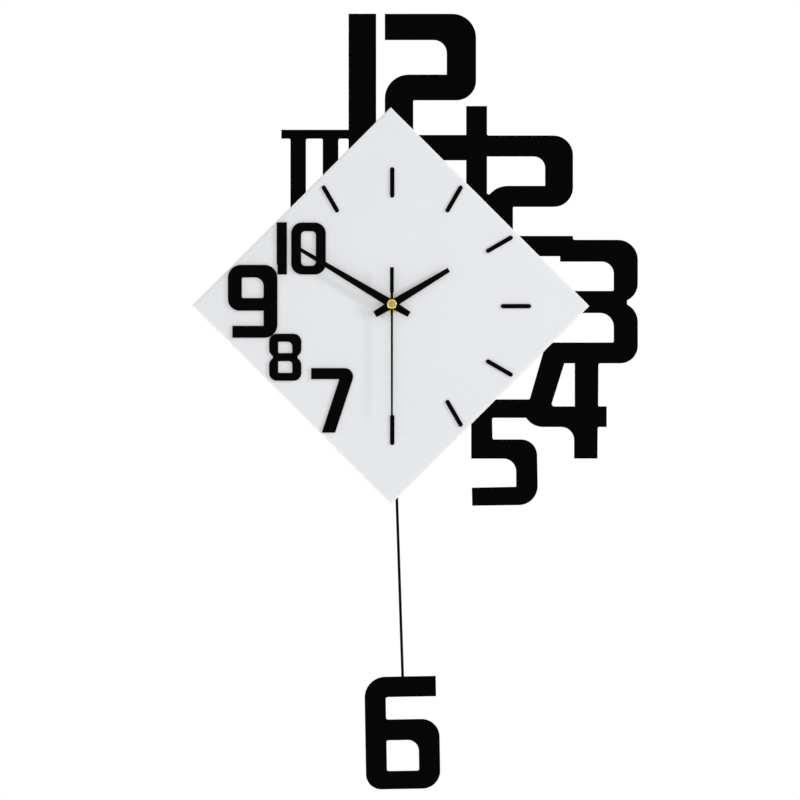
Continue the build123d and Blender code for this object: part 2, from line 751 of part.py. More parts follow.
# Motor winding around the top bar of the yoke
coil_gap = 0.1
coil_end = 3.6              # ends of the winding from the ends of the yoke
coil_round = 0.8
winding = 2.1               # behind and in front of the bar
winding_slim = 1.0          # above and below it
coil_middle = (yoke_bar[0] + yoke_bar[1]) / 2
coil_side = Plane(
    origin=(yoke_left + coil_end, -(yoke_back + yoke_thick / 2), axis_z + coil_middle),
    x_dir=(0, 0, 1), z_dir=(1, 0, 0),
)
core_high = yoke_bar[1] - yoke_bar[0] + 2 * coil_gap
core_deep = yoke_thick + 2 * coil_gap
with BuildPart() as motor_coil:
    with BuildSketch(coil_side):
        RectangleRounded(core_high + 2 * winding_slim, core_deep + 2 * winding, coil_round)
        Rectangle(core_high, core_deep, mode=Mode.SUBTRACT)
    extrude(amount=yoke_right - yoke_left - 2 * coil_end)

# Movement case: an open tray with three rooms, its face towards the board
coil_post_r = 2.2
pin_post_r = 3.0
pin_post_back = 12.2
pivot_axis = (0, pivot_v)
magnet_axis = (0, pivot_v - magnet_drop)
coil_back = pin_post_back + 0.2
coil_post_back = coil_back + 0.6
exit_half = 9.0
exit_over = 1.0             # the exit cuts this far past both faces of its wall
boss_in = 1.6               # screw bosses of the covers, from the walls of their room
boss_r = 2.4
boss_deep = 6.0
cover_screw_r = 0.8
cover_screw_bite = 4.5
gear_screw_spots = [
    (0, gear_room[1] - boss_in),
    (boss_in - room_half, gear_room[0] + boss_in), (room_half - boss_in, gear_room[0] + boss_in),
]
swing_screw_spots = [
    (side * (room_half - boss_in), v)
    for side in (-1, 1) for v in (swing_room[0] + boss_in, swing_room[1] - boss_in)
]
loop_r = 6.5
loop_rise = 4.5
loop_hole_r = 2.5
loop_thick = 2.0
with BuildPart() as movement_case:
    with BuildSketch(face_plane(case_edge)):
        with Locations((0, (case_top + case_bottom) / 2)):
            RectangleRounded(2 * case_half, case_top - case_bottom, case_corner)
    extrude(amount=case_front - case_edge)
    with BuildSketch(face_plane(case_edge)):
        for low, high in (gear_room, battery_room, swing_room):
            box_shape(-room_half, low, room_half, high)
    extrude(amount=case_floor - case_edge, mode=Mode.SUBTRACT)
    with BuildSketch(face_plane(case_edge)):
        box_shape(-exit_half, case_bottom - exit_over, exit_half, swing_room[0] + exit_over)
    extrude(amount=pin_post_back - case_edge, mode=Mode.SUBTRACT)
    for spot in gear_screw_spots + swing_screw_spots:
        round_bar(spot, case_edge, case_edge + boss_deep, boss_r)
        round_bar(
            spot, case_edge, case_edge + cover_screw_bite + screw_short, cover_screw_r + press_gap,
            mode=Mode.SUBTRACT,
        )
    with BuildSketch(face_plane(case_front - loop_thick)):
        box_shape(-loop_r, case_top - case_wall, loop_r, case_top + loop_rise)
        with Locations((0, case_top + loop_rise)):
            Circle(loop_r)
            Circle(loop_hole_r, mode=Mode.SUBTRACT)
    extrude(amount=loop_thick)
    for post in bridge_posts:
        round_bar(post, bridge_end, case_floor, post_r)
        round_bar(
            post, bridge_end, bridge_end + bridge_screw_bite + screw_short,
            bridge_screw_r + press_gap, mode=Mode.SUBTRACT,
        )
    for post in yoke_posts:
        round_bar(post, yoke_back + yoke_thick, case_floor, yoke_post_r)
    round_bar(pivot_axis, pin_post_back, case_floor, pin_post_r)
    round_bar(pivot_axis, pin_post_back, case_floor, pin_r + press_gap, mode=Mode.SUBTRACT)
    round_bar(magnet_axis, coil_post_back, case_floor, coil_post_r)
    round_bar(hand_axis, case_floor, case_front, spindle_r + press_gap, mode=Mode.SUBTRACT)
    round_bar(third_axis, case_floor, front_bearing, arbor_r + run_gap, mode=Mode.SUBTRACT)
    round_bar(
        minute_axis, case_floor, front_bearing, setting_arbor_r + run_gap, mode=Mode.SUBTRACT
    )

# Rear cover over the gear train, with the rear bearings, a stepped border and a
# ring groove round the knob
cover_inset = 1.0           # edges of the covers inside the edges of the case
cover_step = 1.2
cover_step_deep = 0.6
knob_ring = (1.4, 2.4)      # edges of the ring groove from the rim of the knob
cover_half = case_half - cover_inset
gear_cover_v = (gear_room[0] - case_wall, case_top - cover_inset)
with BuildPart() as gear_cover:
    with BuildSketch(face_plane(cover_back)):
        box_shape(-cover_half, gear_cover_v[0], cover_half, gear_cover_v[1])
    extrude(amount=cover_thick)
    with BuildSketch(face_plane(cover_back)):
        box_shape(-cover_half, gear_cover_v[0], cover_half, gear_cover_v[1])
        box_shape(
            -cover_half + cover_step, gear_cover_v[0] + cover_step,
            cover_half - cover_step, gear_cover_v[1] - cover_step, mode=Mode.SUBTRACT,
        )
        with Locations(minute_axis):
            Circle(knob_r + knob_ring[1])
            Circle(knob_r + knob_ring[0], mode=Mode.SUBTRACT)
    extrude(amount=cover_step_deep, mode=Mode.SUBTRACT)
    for spot in gear_screw_spots:
        round_bar(spot, cover_back, case_edge, cover_screw_r + loose_gap, mode=Mode.SUBTRACT)
    for axis, radius in (
        (rotor_axis, arbor_r), (step_axis, arbor_r), (hand_axis, second_shaft_r),
    ):
        round_bar(axis, rear_bearing, case_edge, radius + run_gap, mode=Mode.SUBTRACT)
    round_bar(minute_axis, cover_back, case_edge, setting_arbor_r + run_gap, mode=Mode.SUBTRACT)

# Rear cover over the pendulum drive, with a boss for the pivot pin, a bare label
# recess and the two signs of the cell above it
pin_boss_front = 6.2
recess_wide = 40.0
recess_high = 28.0
recess_corner = 2.0
sign_long = 4.5
sign_wide = 1.1
sign_u = 19.0
sign_drop = 5.0
swing_cover_v = (case_bottom + cover_inset, battery_room[0])
sign_v = swing_cover_v[1] - sign_drop
with BuildPart() as swing_cover:
    with BuildSketch(face_plane(cover_back)):
        box_shape(-cover_half, swing_cover_v[0], cover_half, swing_cover_v[1])
    extrude(amount=cover_thick)
    with BuildSketch(face_plane(cover_back)):
        box_shape(-cover_half, swing_cover_v[0], cover_half, swing_cover_v[1])
        box_shape(
            -cover_half + cover_step, swing_cover_v[0] + cover_step,
            cover_half - cover_step, swing_cover_v[1] - cover_step, mode=Mode.SUBTRACT,
        )
        with Locations((0, (swing_cover_v[0] + swing_cover_v[1]) / 2 - cover_step)):
            RectangleRounded(recess_wide, recess_high, recess_corner)
        with Locations((-sign_u, sign_v), (sign_u, sign_v)):
            Rectangle(sign_long, sign_wide)
        with Locations((sign_u, sign_v)):
            Rectangle(sign_wide, sign_long)
    extrude(amount=cover_step_deep, mode=Mode.SUBTRACT)
    for spot in swing_screw_spots:
        round_bar(spot, cover_back, case_edge, cover_screw_r + loose_gap, mode=Mode.SUBTRACT)
    round_bar(pivot_axis, case_edge, pin_boss_front, pin_post_r)
    round_bar(pivot_axis, rear_bearing, pin_boss_front, pin_r + press_gap, mode=Mode.SUBTRACT)

cover_screws = screw_set(
    gear_screw_spots + swing_screw_spots, cover_back, small_head_thick, small_head_r,
    cover_screw_r, cover_thick + cover_screw_bite,
)

# Rubber gasket between the movement and the board
gasket_wide = 52.0
gasket_high = 48.0
gasket_corner = 5.0
gasket_hole_r = 6.5
with BuildPart() as gasket:
    with BuildSketch(face_plane(case_front)):
        RectangleRounded(gasket_wide, gasket_high, gasket_corner)
        Circle(gasket_hole_r, mode=Mode.SUBTRACT)
    extrude(amount=gasket_thick)

# Threaded brass spindle, its flange behind the case face
flange_r = 6.0
flange_thick = 0.8
spindle_over = 0.2          # past the front of the nut
flange_back = case_floor - flange_thick
washer_front = dial_front + washer_thick
nut_front = washer_front + nut_thick
washer_axis = (0, run_gap - washer_gap)
spindle_end = nut_front + spindle_over
with BuildPart() as spindle_bush:
    round_bar(hand_axis, flange_back, case_floor, flange_r)
    round_bar(hand_axis, case_floor, spindle_end, spindle_r)
    round_bar(hand_axis, flange_back, spindle_end, hour_pipe_r + run_gap, mode=Mode.SUBTRACT)

# Washer and hexagon nut that clamp the panels to the movement
with BuildPart() as spindle_washer:
    round_bar(washer_axis, dial_front, washer_front, washer_r)
    round_bar(washer_axis, dial_front, washer_front, spindle_r + washer_gap, mode=Mode.SUBTRACT)
with BuildPart() as spindle_nut:
    with BuildSketch(face_plane(washer_front)):
        RegularPolygon(nut_flats / 2, 6, major_radius=False, rotation=30)
        Circle(spindle_r + run_gap, mode=Mode.SUBTRACT)
    extrude(amount=nut_thick)

# Round cell in its open bay, and the two leaf contacts at its ends
cell_start = -room_half + contact_space
cell_v = (battery_room[0] + battery_room[1]) / 2
cell_depth = 9.9
cell_end = cell_start + cell_long
cell_plane = Plane(
    origin=(cell_start, -cell_depth, axis_z + cell_v), x_dir=(0, 0, 1), z_dir=(1, 0, 0)
)
with BuildPart() as battery:
    with BuildSketch(cell_plane):
        Circle(cell_r)
    extrude(amount=cell_long)
    fillet(battery.edges().filter_by(GeomType.CIRCLE), cell_round)
    with BuildSketch(cell_plane.offset(cell_long)):
        Circle(nub_r)
    extrude(amount=nub_long)


leaf_steel = 0.4
leaf_wide = 8.0
leaf_back = 5.0             # depth of the bend at the rear
leaf_fold = 1.0
leaf_front = 15.0           # depth of the free end
nose_half = 0.9             # flat of the bend that meets the cell
nose_slant = 0.2


def leaf_contact(wall_u, touch_u):
    """Spring strip bent between a wall of the bay and an end of the cell."""
    toward = 1 if touch_u > wall_u else -1
    steel = leaf_steel * toward
    nose = (cell_depth - nose_half, cell_depth + nose_half)
    with BuildPart() as leaf:
        with BuildSketch(Plane(
            origin=(0, 0, axis_z + cell_v - leaf_wide / 2), x_dir=(1, 0, 0), z_dir=(0, 0, 1)
        )):
            with BuildLine():
                Polyline(
                    (wall_u, -case_floor), (wall_u, -leaf_back), (wall_u + steel, -leaf_back),
                    (touch_u, -nose[0]), (touch_u, -nose[1]), (wall_u + 3 * steel, -leaf_front),
                    (wall_u + 2 * steel, -leaf_front), (touch_u - steel, -nose[1] + nose_slant),
                    (touch_u - steel, -nose[0] - nose_slant),
                    (wall_u + steel, -leaf_back - leaf_fold), (wall_u + steel, -case_floor),
                    close=True,
                )
            make_face()
        extrude(amount=leaf_wide)
    return leaf


contact_minus = leaf_contact(-room_half, cell_start)
contact_plus = leaf_contact(room_half, cell_end + nub_long)

# Circuit board on the case face, with the chip under a blob, and its crystal
circuit_gap = 0.5           # from the side wall of the room
circuit_end_gap = 1.0       # from its upper and lower walls
circuit_wide = 7.4
circuit_thick = 1.0
circuit_back = case_floor - circuit_thick
circuit_left = -room_half + circuit_gap
chip_spot = (circuit_left + circuit_wide / 2, 4.0)
chip_r = 2.6
chip_high = 0.8
crystal_r = 1.0
crystal_long = 8.0
crystal_v = 12.0
with BuildPart() as circuit_board:
    with BuildSketch(face_plane(circuit_back)):
        box_shape(
            circuit_left, gear_room[0] + circuit_end_gap,
            circuit_left + circuit_wide, gear_room[1] - circuit_end_gap,
        )
    extrude(amount=circuit_thick)
    round_bar(chip_spot, circuit_back - chip_high, circuit_back, chip_r)
with BuildPart() as quartz_crystal:
    with BuildSketch(Plane(
        origin=(chip_spot[0], crystal_r - circuit_back, axis_z + crystal_v),
        x_dir=(1, 0, 0), z_dir=(0, 0, 1),
    )):
        Circle(crystal_r)
    extrude(amount=crystal_long)

# Coil that kicks the pendulum, fixed on a post of the case
drive_coil_r = 9.0
with BuildPart() as drive_coil:
    round_bar(magnet_axis, coil_back, case_floor, drive_coil_r)
    round_bar(
        magnet_axis, coil_back, case_floor, coil_post_r + loose_gap, mode=Mode.SUBTRACT
    )


def swing_plane(depth):
    """Viewer-facing plane that hangs from the pivot with the pendulum."""
    return face_plane(depth, pivot_axis, rest_turn)


def swing_point(across, up):
    """Place on the pendulum, seen from the hand axis."""
    turn = radians(rest_turn)
    return (
        across * cos(turn) + up * sin(turn), pivot_v - across * sin(turn) + up * cos(turn),
    )


swing_up = (sin(radians(rest_turn)), 0, cos(radians(rest_turn)))
swing_right = (cos(radians(rest_turn)), 0, -sin(radians(rest_turn)))

# Steel pin that the pendulum hangs on
with BuildPart() as pivot_pin:
    round_bar(pivot_axis, rear_bearing + end_play, case_floor - end_play, pin_r)

# Swinging arm: pivot boss, ring for the magnet, eye for the rod
arm_boss_r = 3.6
arm_half = 3.0
magnet_ring = 2.0           # wall round the magnet
with BuildPart() as swing_arm:
    with BuildSketch(swing_plane(arm_back)):
        box_shape(-arm_half, -hook_drop, arm_half, 0)
        with Locations((0, -magnet_drop)):
            Circle(magnet_r + magnet_ring)
            Circle(magnet_r + press_gap, mode=Mode.SUBTRACT)
        with Locations((0, -hook_drop)):
            Circle(arm_half)
            Circle(rod_r + press_gap, mode=Mode.SUBTRACT)
    extrude(amount=arm_thick)
    round_bar(pivot_axis, pin_boss_front + side_gap, pin_post_back - side_gap, arm_boss_r)
    round_bar(
        pivot_axis, pin_boss_front, pin_post_back, pin_r + run_gap, mode=Mode.SUBTRACT
    )

# Disc magnet pressed into the arm
with BuildPart() as arm_magnet:
    with BuildSketch(swing_plane(arm_back)):
        with Locations((0, -magnet_drop)):
            Circle(magnet_r)
    extrude(amount=arm_thick)

# Long wire rod, its top bent back through the eye of the arm
clip_tuck = 1.0             # top of the clip below the top of the bob
clip_top = bob_drop + clip_tuck
rod_in_clip = 13.0
rod_side = Plane(origin=(0, 0, axis_z + pivot_v), x_dir=swing_up, z_dir=swing_right)
with BuildPart() as pendulum_rod:
    with BuildLine(rod_side) as rod_path:
        FilletPolyline(
            (-clip_top - rod_in_clip, rod_depth), (-hook_drop, rod_depth),
            (-hook_drop, arm_back - hook_over), radius=rod_bend,
        )
    with BuildSketch(Plane(origin=rod_path.line @ 0, z_dir=rod_path.line % 0)):
        Circle(rod_r)
    sweep()

# Clip behind the bob that grips the end of the rod
clip_half = 12.0
clip_high = 16.0
clip_corner = 2.0
clip_screw_u = 8.0
clip_screw_bite = 1.8
clip_head_r = 2.0
clip_head_thick = 1.2
clip_screw_r = 1.0
clip_screw_spots = [
    swing_point(side * clip_screw_u, -clip_top - clip_high / 2) for side in (-1, 1)
]
rod_socket = swing_point(0, -clip_top)
with BuildPart() as rod_clip:
    with BuildSketch(swing_plane(clip_back)):
        with Locations((0, -clip_top - clip_high / 2)):
            RectangleRounded(2 * clip_half, clip_high, clip_corner)
    extrude(amount=clip_thick)
    with BuildSketch(Plane(
        origin=(rod_socket[0], -rod_depth, axis_z + rod_socket[1]),
        z_dir=(-swing_up[0], 0, -swing_up[2]),
    )):
        Circle(rod_r + press_gap)
    extrude(amount=rod_in_clip + end_play, mode=Mode.SUBTRACT)
    for spot in clip_screw_spots:
        round_bar(spot, clip_back, bob_back, clip_screw_r + loose_gap, mode=Mode.SUBTRACT)
clip_screws = screw_set(
    clip_screw_spots, clip_back, clip_head_thick, clip_head_r, clip_screw_r,
    clip_thick + clip_screw_bite,
)

# Bob: a block figure 6
bob_right = bob_left + bob_wide
bob_top_wide = 67.4
bob_top_right = bob_left + bob_top_wide
bob_stem = 19.9
bob_top_bar = 19.1
bob_upper_gap = 21.3
bob_mid_bar = 19.5
bob_window = 29.1
bob_bend = 19.7
bob_lobe_bend = 17.0
bob_heel_bend = 14.5
bob_window_bend = 10.3
bob_sharp = 1.9
lobe_top = -bob_top_bar - bob_upper_gap
window_top = lobe_top - bob_mid_bar
with BuildPart() as bob_numeral_6:
    with BuildSketch(face_plane(bob_back, swing_point(0, -bob_drop), rest_turn + bob_lean)):
        cut_shape([
            (bob_left, 0, bob_bend), (bob_top_right, 0, 0), (bob_top_right, -bob_top_bar, 0),
            (bob_left + bob_stem, -bob_top_bar, bob_sharp),
            (bob_left + bob_stem, lobe_top, bob_sharp), (bob_right, lobe_top, bob_lobe_bend),
            (bob_right, -bob_high, bob_lobe_bend), (bob_left, -bob_high, bob_heel_bend),
        ])
        cut_shape([
            (bob_left + bob_stem, window_top, bob_sharp),
            (bob_right - bob_stem, window_top, bob_window_bend),
            (bob_right - bob_stem, window_top - bob_window, bob_sharp),
            (bob_left + bob_stem, window_top - bob_window, bob_sharp),
        ], mode=Mode.SUBTRACT)
    extrude(amount=bob_thick)
    for spot in clip_screw_spots:
        round_bar(
            spot, bob_back, bob_back + clip_screw_bite + screw_short, clip_screw_r + press_gap,
            mode=Mode.SUBTRACT,
        )


def hand_shape(tail, tail_wide, hub_wide, reach, tip_wide):
    """Straight hand along its own up direction, square at both ends."""
    Polygon(
        (-tail_wide / 2, -tail), (tail_wide / 2, -tail), (hub_wide / 2, 0),
        (tip_wide / 2, reach), (-tip_wide / 2, reach), (-hub_wide / 2, 0), align=None,
    )


# Hour hand on its brass bush
bush_r = 3.4
bush_foot_r = 4.4
bush_lift = 0.4             # above the front of the nut
with BuildPart() as hour_bush:
    round_bar(hand_axis, nut_front + bush_lift, hour_hand_back, bush_foot_r)
    round_bar(hand_axis, hour_hand_back, hour_hand_back + hand_thick, bush_r)
    round_bar(
        hand_axis, nut_front, hour_hand_back + hand_thick, hour_pipe_r + press_gap,
        mode=Mode.SUBTRACT,
    )
with BuildPart() as hour_hand:
    with BuildSketch(face_plane(hour_hand_back, turn=hour_turn)):
        hand_shape(hour_tail, hour_tail_wide, hour_hub_wide, hour_reach, hour_tip_wide)
        Circle(hour_hub_r)
        Circle(bush_r + press_gap, mode=Mode.SUBTRACT)
    extrude(amount=hand_thick)

# Minute hand pressed on its tube
with BuildPart() as minute_hand:
    with BuildSketch(face_plane(minute_hand_back, turn=minute_turn)):
        hand_shape(
            minute_tail, minute_tail_wide, minute_hub_wide, minute_reach_out, minute_tip_wide
        )
        Circle(minute_hub_r)
        Circle(minute_tube_r + press_gap, mode=Mode.SUBTRACT)
    extrude(amount=hand_thick)

# Second hand: thin needle with a bar for balance
with BuildPart() as second_hand:
    with BuildSketch(face_plane(second_hand_back, turn=second_turn)):
        hand_shape(second_neck, second_neck_wide, second_neck_wide, second_neck, needle_wide)
        hand_shape(0, needle_wide, needle_wide, needle_reach, needle_tip_wide)
        box_shape(-second_tail_wide / 2, -second_tail, second_tail_wide / 2, -second_neck)
        Circle(second_hub_r)
        Circle(second_shaft_r + press_gap, mode=Mode.SUBTRACT)
    extrude(amount=second_hand_thick)

# Turned brass cap on the end of the second hand's shaft
cap_back = second_hand_back + second_hand_thick
cap_front = cap_back + cap_high
with BuildPart() as hand_cap:
    round_bar(hand_axis, cap_back, cap_front, cap_r)
    fillet(hand_cap.faces().sort_by(Axis.Y)[0].edges(), cap_round)
    with BuildSketch(face_plane(cap_front - groove_deep)):
        Circle(groove_r[1])
        Circle(groove_r[0], mode=Mode.SUBTRACT)
    extrude(amount=groove_deep, mode=Mode.SUBTRACT)
    front_edges = hand_cap.edges().filter_by_position(Axis.Y, -cap_front, -cap_front)
    fillet(front_edges.sort_by(SortBy.RADIUS)[:2], groove_round)
    round_bar(
        hand_axis, cap_back, second_shaft_end + end_play, second_shaft_r + press_gap,
        mode=Mode.SUBTRACT,
    )

# Name every sub-part and write it out
sub_parts = {
    "dial_panel": dial_panel,
    "numeral_7": numeral_7,
    "numeral_8": numeral_8,
    "numeral_9": numeral_9,
    "numeral_10": numeral_10,
    "hour_marks": hour_marks,
    "number_plate": number_plate,
    "back_board": back_board,
    "tape_pads": tape_pads,
    "plate_screws": plate_screws,
    "hanger_left": hanger_left,
    "hanger_right": hanger_right,
    "hanger_screws": hanger_screws,
    "wall_bumpers": wall_bumpers,
    "bumper_screws": bumper_screws,
    "motor_rotor": motor_rotor,
    "step_wheel": step_wheel,
    "second_wheel": second_wheel,
    "third_wheel": third_wheel,
    "centre_wheel": centre_wheel,
    "minute_wheel": minute_wheel,
    "hour_wheel": hour_wheel,
    "setting_knob": setting_knob,
    "train_bridge": train_bridge,
    "bridge_screws": bridge_screws,
    "motor_stator": motor_stator,
    "motor_coil": motor_coil,
    "movement_case": movement_case,
    "gear_cover": gear_cover,
    "swing_cover": swing_cover,
    "cover_screws": cover_screws,
    "gasket": gasket,
    "spindle_bush": spindle_bush,
    "spindle_washer": spindle_washer,
    "spindle_nut": spindle_nut,
    "battery": battery,
    "contact_minus": contact_minus,
    "contact_plus": contact_plus,
    "circuit_board": circuit_board,
    "quartz_crystal": quartz_crystal,
    "drive_coil": drive_coil,
    "pivot_pin": pivot_pin,
    "swing_arm": swing_arm,
    "arm_magnet": arm_magnet,
    "pendulum_rod": pendulum_rod,
    "rod_clip": rod_clip,
    "clip_screws": clip_screws,
    "bob_numeral_6": bob_numeral_6,
    "hour_bush": hour_bush,
    "hour_hand": hour_hand,
    "minute_hand": minute_hand,
    "second_hand": second_hand,
    "hand_cap": hand_cap,
}
os.makedirs("parts", exist_ok=True)
for name, made in sub_parts.items():
    made.part.label = name
    export_step(made.part, "parts/" + name + ".step")
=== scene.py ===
"""Looks of the pendulum wall clock: materials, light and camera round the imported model."""
import json
import math

import bpy
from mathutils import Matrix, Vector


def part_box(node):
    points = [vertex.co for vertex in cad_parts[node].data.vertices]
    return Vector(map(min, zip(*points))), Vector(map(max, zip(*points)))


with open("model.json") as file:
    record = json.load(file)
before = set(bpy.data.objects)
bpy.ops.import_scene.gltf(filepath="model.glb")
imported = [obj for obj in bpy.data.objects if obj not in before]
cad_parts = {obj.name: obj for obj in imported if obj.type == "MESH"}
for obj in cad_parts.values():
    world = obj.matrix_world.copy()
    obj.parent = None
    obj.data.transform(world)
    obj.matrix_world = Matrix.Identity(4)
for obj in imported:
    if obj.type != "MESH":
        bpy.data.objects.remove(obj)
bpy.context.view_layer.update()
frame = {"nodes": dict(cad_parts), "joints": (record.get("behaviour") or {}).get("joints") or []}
nodes = frame["nodes"]

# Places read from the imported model, in metres
HINGE_POINTS = {joint["name"]: joint["pos_m"] for joint in frame["joints"]}
HAND_AXIS = tuple(HINGE_POINTS["second_hand_turn"])
DIAL_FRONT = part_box("dial_panel")[0][1]
CELL_PLUS_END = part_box("battery")[1][0]

# Fine sizes of the textures, in metres
RING_PITCH = 0.00022        # lathe rings on turned brass
WIRE_PITCH = 0.00024        # ribs of the wound wire
CELL_BAND = 0.01675         # length of the coppery band at the plus end of the cell
CELL_LINE = 0.0013          # width of the pale line beside that band
# Radii on the cap, each as the two ends of a soft edge
BOSS_EDGE = (0.0008, 0.0011)
GROOVE_START = (0.0010, 0.0013)
GROOVE_END = (0.0028, 0.0033)

# The photograph: its frame, its scale and the pixel where the hands turn
PHOTO_PIXELS = 800
METRES_PER_PIXEL = 0.00094
AXIS_PIXEL = (391.9, 304.25)

# The studio, in metres
WORLD_LIGHT = 0.53          # strength of the even light from all round
FLOOR_RADIUS = 4.0
FLOOR_HEIGHT = -1.25
FLOOR_SIDES = 96
FLOOR_RUN_OUT = (0.1 * FLOOR_RADIUS, 0.7 * FLOOR_RADIUS)    # where it fades into white
CAMERA_DISTANCE = 5.0       # from the dial
CAMERA_REACH = 50.0
SENSOR_WIDTH = 36.0         # in millimetres, as Blender gives lenses
LAMP_TARGET = (0.0, -0.03, -0.05)    # middle of the dial
# Each lamp's name, place, width of its disc and power in watts
LAMPS = (
    ("front", (-0.3, -5.6, -0.5), 5.0, 76.0),
    ("key", (2.36, -0.99, 0.48), 0.35, 22.0),
    ("rim_low_left", (-1.1, 0.0, -1.1), 0.2, 20.0),
    ("rim_low_right", (1.1, 0.0, -1.1), 0.2, 9.0),
    ("rim_top_right", (1.1, 0.0, 1.05), 0.2, 12.0),
    ("back", (-0.8, 2.2, 1.2), 1.6, 24.0),
)


class Shade:
    """One procedural material: a Principled shader and the textures that feed it."""

    MIX_A, MIX_B, MIX_RESULT = 6, 7, 2      # the colour sockets of a Mix node

    def __init__(self, name, colour, rough, metal=0.0, spec=0.5, coat=0.0, coat_rough=0.05):
        self.mat = bpy.data.materials.new(name)
        self.mat.use_nodes = True
        self.mat.diffuse_color = (*colour, 1.0)
        self.tree = self.mat.node_tree
        self.shader = self.tree.nodes["Principled BSDF"]
        settings = {
            "Base Color": (*colour, 1.0),
            "Roughness": rough,
            "Metallic": metal,
            "Specular IOR Level": spec,
            "Coat Weight": coat,
            "Coat Roughness": coat_rough,
        }
        for socket, value in settings.items():
            self.shader.inputs[socket].default_value = value
        self.coords = self.tree.nodes.new("ShaderNodeTexCoord").outputs["Object"]
        self.last_normal = None

    def node(self, kind, **values):
        """A new node with its own settings."""
        made = self.tree.nodes.new(kind)
        for key, value in values.items():
            setattr(made, key, value)
        return made

    def link(self, source, socket):
        self.tree.links.new(source, socket)

    def moved(self, centre=(0, 0, 0), scale=(1, 1, 1), turn=(0, 0, 0)):
        """Object coordinates measured from a centre, stretched and turned."""
        shift = self.node("ShaderNodeVectorMath", operation="SUBTRACT")
        shift.inputs[1].default_value = centre
        self.link(self.coords, shift.inputs[0])
        mapping = self.node("ShaderNodeMapping")
        mapping.inputs["Scale"].default_value = scale
        mapping.inputs["Rotation"].default_value = turn
        self.link(shift.outputs[0], mapping.inputs["Vector"])
        return mapping.outputs[0]

    def noise(self, scale, detail=4.0, rough=0.55, vector=None):
        """Cloudy noise, with scale as the number of clouds to the metre."""
        made = self.node("ShaderNodeTexNoise")
        made.inputs["Scale"].default_value = scale
        made.inputs["Detail"].default_value = detail
        made.inputs["Roughness"].default_value = rough
        self.link(vector or self.coords, made.inputs["Vector"])
        return made.outputs["Fac"]

    def cells(self, scale, output="Distance"):
        """Scattered cells, with scale as the number of cells to the metre."""
        made = self.node("ShaderNodeTexVoronoi")
        made.inputs["Scale"].default_value = scale
        self.link(self.coords, made.inputs["Vector"])
        return made.outputs[output]

    def math(self, operation, a, b=None, clamp=False):
        """One step of arithmetic on sockets or plain numbers."""
        made = self.node("ShaderNodeMath", operation=operation, use_clamp=clamp)
        for socket, value in zip(made.inputs, (a, b)):
            if value is None:
                continue
            if isinstance(value, (int, float)):
                socket.default_value = value
            else:
                self.link(value, socket)
        return made.outputs[0]

    def waves(self, value, pitch):
        """A sine wave along a length, one period for each pitch."""
        return self.math("SINE", self.math("MULTIPLY", value, 2 * math.pi / pitch))

    def span(self, value, given, wanted, curve="LINEAR"):
        """A value mapped from a given range to a wanted one, and held at the ends."""
        made = self.node("ShaderNodeMapRange", interpolation_type=curve)
        ends = ("From Min", "From Max", "To Min", "To Max")
        for end, number in zip(ends, (*given, *wanted)):
            made.inputs[end].default_value = number
        self.link(value, made.inputs["Value"])
        return made.outputs[0]

    def ramp(self, value, stops):
        """A colour for each value, between stops of a place and a colour."""
        made = self.node("ShaderNodeValToRGB")
        while len(made.color_ramp.elements) < len(stops):
            made.color_ramp.elements.new(0.5)
        for element, (place, colour) in zip(made.color_ramp.elements, stops):
            element.position = place
            element.color = (*colour, 1.0)
        self.link(value, made.inputs["Fac"])
        return made.outputs["Color"]

    def mix(self, factor, a, b):
        """Colour a where factor is 0, colour b where it is 1."""
        made = self.node("ShaderNodeMix", data_type="RGBA")
        self.link(factor, made.inputs["Factor"])
        for place, value in ((self.MIX_A, a), (self.MIX_B, b)):
            if isinstance(value, tuple):
                made.inputs[place].default_value = (*value, 1.0)
            else:
                self.link(value, made.inputs[place])
        return made.outputs[self.MIX_RESULT]

    def colour(self, source):
        self.link(source, self.shader.inputs["Base Color"])

    def rough(self, source):
        self.link(source, self.shader.inputs["Roughness"])

    def bump(self, height, distance, strength):
        """Relief in metres, added to any relief that the material has already."""
        made = self.node("ShaderNodeBump")
        made.inputs["Distance"].default_value = distance
        made.inputs["Strength"].default_value = strength
        self.link(height, made.inputs["Height"])
        if self.last_normal:
            self.link(self.last_normal, made.inputs["Normal"])
        self.last_normal = made.outputs[0]
        self.link(self.last_normal, self.shader.inputs["Normal"])

    def split(self, vector):
        made = self.node("ShaderNodeSeparateXYZ")
        self.link(vector, made.inputs[0])
        return made.outputs

    def place(self, axis):
        """Distance along one axis of the model."""
        return self.split(self.coords)[axis]

    def facing(self, axis):
        """How squarely the surface faces along one axis of the model, from 0 to 1."""
        geometry = self.node("ShaderNodeNewGeometry")
        return self.math("ABSOLUTE", self.split(geometry.outputs["True Normal"])[axis])

    def length(self, vector):
        made = self.node("ShaderNodeVectorMath", operation="LENGTH")
        self.link(vector, made.inputs[0])
        return made.outputs["Value"]

    def from_axis(self, centre):
        """Distance from a front-to-back axis through a point."""
        return self.length(self.moved(centre, scale=(1, 0, 1)))


def tinted(colour, share):
    """A colour made darker or lighter, held at white."""
    return tuple(min(1.0, part * share) for part in colour)


def dress(shade, *names):
    """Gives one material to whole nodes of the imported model."""
    for name in names:
        piece = nodes[name]
        if not piece.material_slots:
            piece.data.materials.append(shade.mat)
        for place in piece.material_slots:
            place.material = shade.mat


